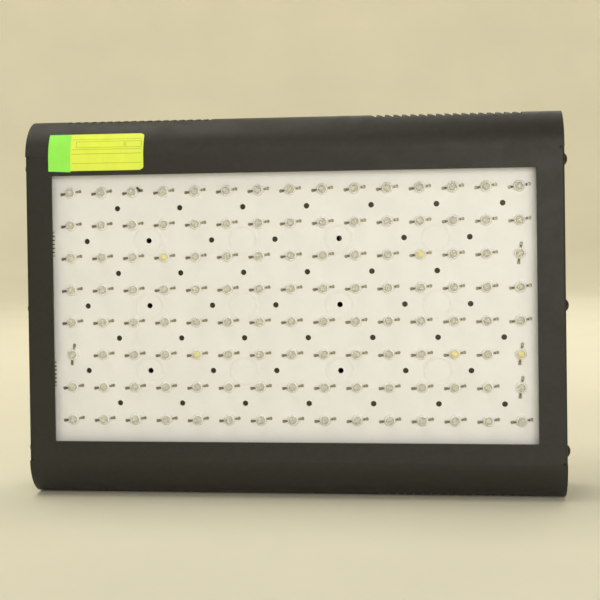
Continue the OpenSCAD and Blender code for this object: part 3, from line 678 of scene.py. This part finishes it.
def make_traces():
    """Raised copper under the white mask, from each emitter's lead to its neighbour's."""
    lead_span = 13.4
    trace = Shape().block((PITCH_X / MM - lead_span, 4.6, 0.08), 0.03)
    traces = Shape()
    for row in range(ROWS):
        for col in range(COLS - 1):
            traces.join(trace, front_place(led_place(col, row) + Vector((PITCH_X / 2, 0, 0))))
    traces.build("board_traces", MATERIALS["white_board"], CASING, "white_board", 30)


def make_board_rings():
    """Low pressed rim of each round mark of the board, between every third pair of columns."""
    rings = Shape()
    rim = Shape().lathe([(10.6, 0), (10.5, 0.12), (10.2, 0.17), (8.3, 0.14), (8.0, 0.02)], 72)
    for row in range(1, ROWS - 2, 2):
        for col in range(2, COLS - 3, 3):
            spot = led_place(col, row) + Vector((PITCH_X / 2, 0, -PITCH_Z / 2))
            rings.join(rim, front_place(spot))
    rings.build("board_rings", ring_white(), CASING, "white_board", 40)


def make_connector_ribs():
    """Ribbed latches of the plugs at the board's left edge, just inside the window."""
    low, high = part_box("board_connectors")
    board, edge, plug_top = FRONT_Y / MM + 7, low[0] / MM + 9.9, high[2] / MM
    count, pitch = 6, 2.85
    latches, ribs = Shape(), Shape()
    for top in (plug_top + 5.2, plug_top - 87.2):
        middle = top - count * pitch / 2
        latches.block((1.6, 2.2, count * pitch), 0.3, (edge - 1.45, board - 1.2, middle))
        for k in range(count):
            spot = (edge - 1.25, board - 1.4, top - pitch * (k + 0.5))
            ribs.block((2.4, 2.6, 1.9), 0.45, spot)
    latches.build("connector_latches", MATERIALS["black_plastic"], CASING, "black_plastic", 30)
    ribs.build("connector_ribs", MATERIALS["ivory_plastic"], CASING, "ivory_plastic", 30)


def make_bent_lead():
    """Blackened lead of one emitter, lifted off its pad."""
    turn = Matrix.Rotation(math.radians(128), 4, "Z") @ Matrix.Rotation(math.radians(-12), 4, "Y")
    lifted = Matrix.Translation((5.1, 1.3, 1.7)) @ turn
    strip = Shape().join(Shape().block((3.8, 1.25, 0.36), 0.12), lifted)
    placed = Shape().join(strip, front_place(led_place(*LIFTED), LEAD_TURN))
    placed.build("bent_lead", dark_lead(), CASING, "clear_emitter", 40)


# ---------------------------------------------------------------- lot label, without its text
# Millimetres: up the cover's face and round its roll from MID_Z, and along x
LABEL_LOW, LABEL_HIGH = 97.3, 124.6
LABEL_LEFT, LABEL_SPLIT, LABEL_RIGHT = -171.1, -155.2, -102.3
PAPER, INK = 0.025, 0.006
PAPER_WAVE = 0.006


def on_cover(x, up, lift):
    """Point at a height over the cover, at a distance up its face and round its roll."""
    front, middle, bend = FRONT_Y / MM, MID_Z / MM, EDGE_R / MM
    tangent = HALF_H / MM - bend
    if up <= tangent:
        return Vector((x, front - lift, middle + up))
    angle = (up - tangent) / bend
    r = bend + lift
    return Vector((x, front + bend - r * math.cos(angle), middle + tangent + r * math.sin(angle)))


def rim_of(rows):
    """The points round the outside of a grid of points, in order."""
    return rows[0] + [r[-1] for r in rows[1:]] + rows[-1][-2::-1] + [r[0] for r in rows[-2:0:-1]]


def slab(front, back):
    """Closed thin solid between two grids of points."""
    piece = Shape().grid(front).grid([row[::-1] for row in back])
    near, far = rim_of(front), rim_of(back)
    return piece.grid([far + far[:1], near + near[:1]])


def sticker(left, right, low, high, lift, thick, cols, rows, corner=0.0, skew=0.0):
    """Thin sheet that follows the cover, its right corners rounded and its low edge skewed."""
    layers = []
    for height in (lift + thick, lift):
        grid = []
        for j in range(rows + 1):
            v = j / rows
            up = low + (high - low) * v
            short = max(0, corner - min(up - low, high - up))
            cut = corner - math.sqrt(max(0, corner ** 2 - short ** 2))
            row = []
            for i in range(cols + 1):
                u = i / cols
                x = left + (right - cut - left) * u
                ripple = PAPER_WAVE * (1 + noise.noise((x * 0.12, up * 0.15, 0.3)))
                row.append(on_cover(x, up + skew * u * (1 - v), height + ripple))
            grid.append(row)
        layers.append(grid)
    return slab(*layers)


def make_label():
    """Paper lot label over the top roll: a green tab, a yellow sheet and its printed rules."""
    yellow, green, ink = [paper(*look) for look in (
        ("yellow_paper", (0.84, 0.99, 0.085)), ("green_paper", (0.34, 0.99, 0.10)),
        ("label_ink", (0.30, 0.33, 0.05)))]
    slot, smooth = "yellow_emitter", 50
    glue, fold = 0.01, 1
    over = glue + PAPER
    sheet = sticker(LABEL_SPLIT - fold, LABEL_RIGHT, LABEL_LOW, LABEL_HIGH, glue, PAPER, 30, 24,
                    corner=2.6)
    sheet.build("label_sheet", yellow, CASING, slot, smooth)
    tab = sticker(LABEL_LEFT, LABEL_SPLIT + 0.2, LABEL_LOW, LABEL_HIGH, over, PAPER, 30, 24,
                  skew=-0.8)
    tab.build("label_tab", green, CASING, slot, smooth)

    # Rules across the sheet, and the ends of its two boxes
    line = 0.22
    left, right = LABEL_SPLIT + 1.2, LABEL_RIGHT - 1.4
    box_left, box_split = left + 3, right - 11.5
    box_low, box_high = 16.4, 20.9
    across = [(left, right, up) for up in (22.6, 15.0, 11.8, 5.2)]
    across += [(x0, x1, up) for x0, x1 in ((box_left, box_split - 1), (box_split, right))
               for up in (box_high, box_low)]
    rules = Shape()
    for x0, x1, up in across:
        up += LABEL_LOW
        rules.join(sticker(x0, x1, up, up + line, over, INK, 24, 2))
    low, high = LABEL_LOW + box_low, LABEL_LOW + box_high + 0.2
    for x in (box_left, box_split - 1, box_split, right - line):
        rules.join(sticker(x, x + line, low, high, over, INK, 2, 8))
    rules.build("label_rules", ink, CASING, slot, smooth)


# ---------------------------------------------------------------- fans
HUB_R, TIP_R = 20.0, 55.2
BLADES = 7
BLADE_HIGH, BLADE_LOW = -3.0, -20.0


def hub_shape():
    """Closed cup with a stepped face, and the shaft inside it."""
    hub = Shape()
    hub.lathe([(0, -1.6), (3.2, -1.6), (3.6, -1.3), (14.5, -1.3), (15.0, -1.7), (17.8, -1.7),
               (18.6, -1.5), (19.4, -2.1), (HUB_R, -3.2), (HUB_R, -20.2), (18.6, -20.2),
               (18.6, -3.4), (0, -3.2)], 64)
    hub.lathe([(0, -3.0), (1.5, -3.0), (1.5, -19.4), (1.2, -19.7), (0, -19.7)], 20)
    return hub


def blade_side(start, offset):
    """Grid of points over one side of a blade: cambered, swept, and flatter towards its tip."""
    spans = chords = 12
    root, camber, middle = HUB_R - 0.6, 2.6, -12.2
    root_pitch, pitch_drop = 46, 20
    root_chord, chord_gain = 24, 13
    sweep, edge_thin = 0.20, 0.25
    rows = []
    for i in range(spans + 1):
        s = i / spans
        r = root + (TIP_R - root) * s
        pitch = math.radians(root_pitch - pitch_drop * s)
        chord = root_chord + chord_gain * s
        row = []
        for j in range(chords + 1):
            c = j / chords - 0.5
            rise = camber * (1 - 4 * c * c)
            rise += offset * (edge_thin + (1 - edge_thin) * math.sqrt(max(0, 1 - (2 * c) ** 4)))
            y = chord * c * math.cos(pitch) - rise * math.sin(pitch)
            z = chord * c * math.sin(pitch) + rise * math.cos(pitch) + middle
            angle = start + sweep * s * s + y / r
            z = max(BLADE_LOW, min(BLADE_HIGH, z))
            row.append(Vector((r * math.cos(angle), r * math.sin(angle), z)))
        rows.append(row)
    return rows


def make_rotor(side, body, node):
    """Impeller with seven blades round a closed hub, just inside the back panel's face."""
    low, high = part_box(node)
    inset, half_thick = 1.2 * MM, 0.75
    centre = Vector(((low[0] + high[0]) / 2, BACK_Y - inset, (low[2] + high[2]) / 2))
    wheel = hub_shape()
    for b in range(BLADES):
        start = 2 * math.pi * b / BLADES
        wheel.join(slab(blade_side(start, half_thick), blade_side(start, -half_thick)))
    rotor = Shape().join(wheel, back_place(centre))
    piece = rotor.build(f"{side}_impeller", MATERIALS["black_plastic"], body, "black_plastic", 32)
    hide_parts(node)


# ---------------------------------------------------------------- stage and light
def make_stage():
    """Pale floor that rises into a wall all round, far from the object. It is in metres."""
    flat, wall, radius, steps = 2.4, 4.4, 1.2, 10
    profile = [(0, 0), (0.6, 0), (1.5, 0), (flat, 0)]
    profile += [(flat + radius * math.sin(a), radius * (1 - math.cos(a)))
                for a in (math.pi / 2 * k / steps for k in range(1, steps + 1))]
    profile.append((flat + radius, wall))
    floor = Shape().lathe(profile, 96)
    mesh = bpy.data.meshes.new("floor")
    mesh.from_pydata([tuple(v) for v in floor.verts], [], floor.faces)
    mesh.materials.append(backdrop_cloth())
    mesh.shade_smooth()
    stage = bpy.data.objects.new("floor", mesh)
    bpy.context.scene.collection.objects.link(stage)


def area_light(name, place, target, size, power, color):
    """Soft panel of light, aimed at a point and not seen by the camera."""
    data = bpy.data.lights.new(name, "AREA")
    data.shape = "RECTANGLE"
    data.size, data.size_y = size
    data.energy = power
    data.color = color
    lamp = bpy.data.objects.new(name, data)
    lamp.visible_camera = False
    aim = (Vector(target) - Vector(place)).to_track_quat("-Z", "Y")
    lamp.matrix_world = Matrix.Translation(place) @ aim.to_matrix().to_4x4()
    bpy.context.scene.collection.objects.link(lamp)


def make_lights():
    """Large soft panels in front, above and behind, and a pale world."""
    middle = (0, 0, MID_Z)
    area_light("front_soft", (0.75, -1.9, 0.55), middle, (1.6, 1.0), 18.5, (1, 0.98, 0.955))
    area_light("front_left", (-0.62, -1.75, 1.14), middle, (0.55, 0.42), 3, (1, 1, 1))
    area_light("overhead", (-0.5, -0.25, 1.5), middle, (1.2, 0.8), 7.9, (1, 0.98, 0.84))
    area_light("backdrop", (-0.3, 0.7, 2.2), (0, 2.8, 0.9), (3.0, 1.2), 33, (1, 0.96, 0.80))
    area_light("rear_soft", (0.5, 2.1, 1.4), middle, (1.6, 1.0), 7, (1, 0.98, 0.94))
    area_light("floor_wash", (0, 0.9, 1.5), (0, 1.2, 0), (2.4, 1.0), 4, (1, 0.96, 0.82))
    world = bpy.data.worlds.new("world")
    world.use_nodes = True
    sky = world.node_tree.nodes["Background"]
    sky.inputs["Color"].default_value = (1.0, 0.99, 0.96, 1)
    sky.inputs["Strength"].default_value = 0.1
    bpy.context.scene.world = world
    view = bpy.context.scene.view_settings
    view.view_transform = "Standard"
    view.look = "None"


make_camera()
dress_frame()
make_emitters()
make_traces()
make_board_rings()
make_connector_ribs()
make_bent_lead()
make_label()
make_rotor("left", "left_rotor", "left_fan_rotor")
make_rotor("right", "right_rotor", "right_fan_rotor")
make_stage()
make_lights()
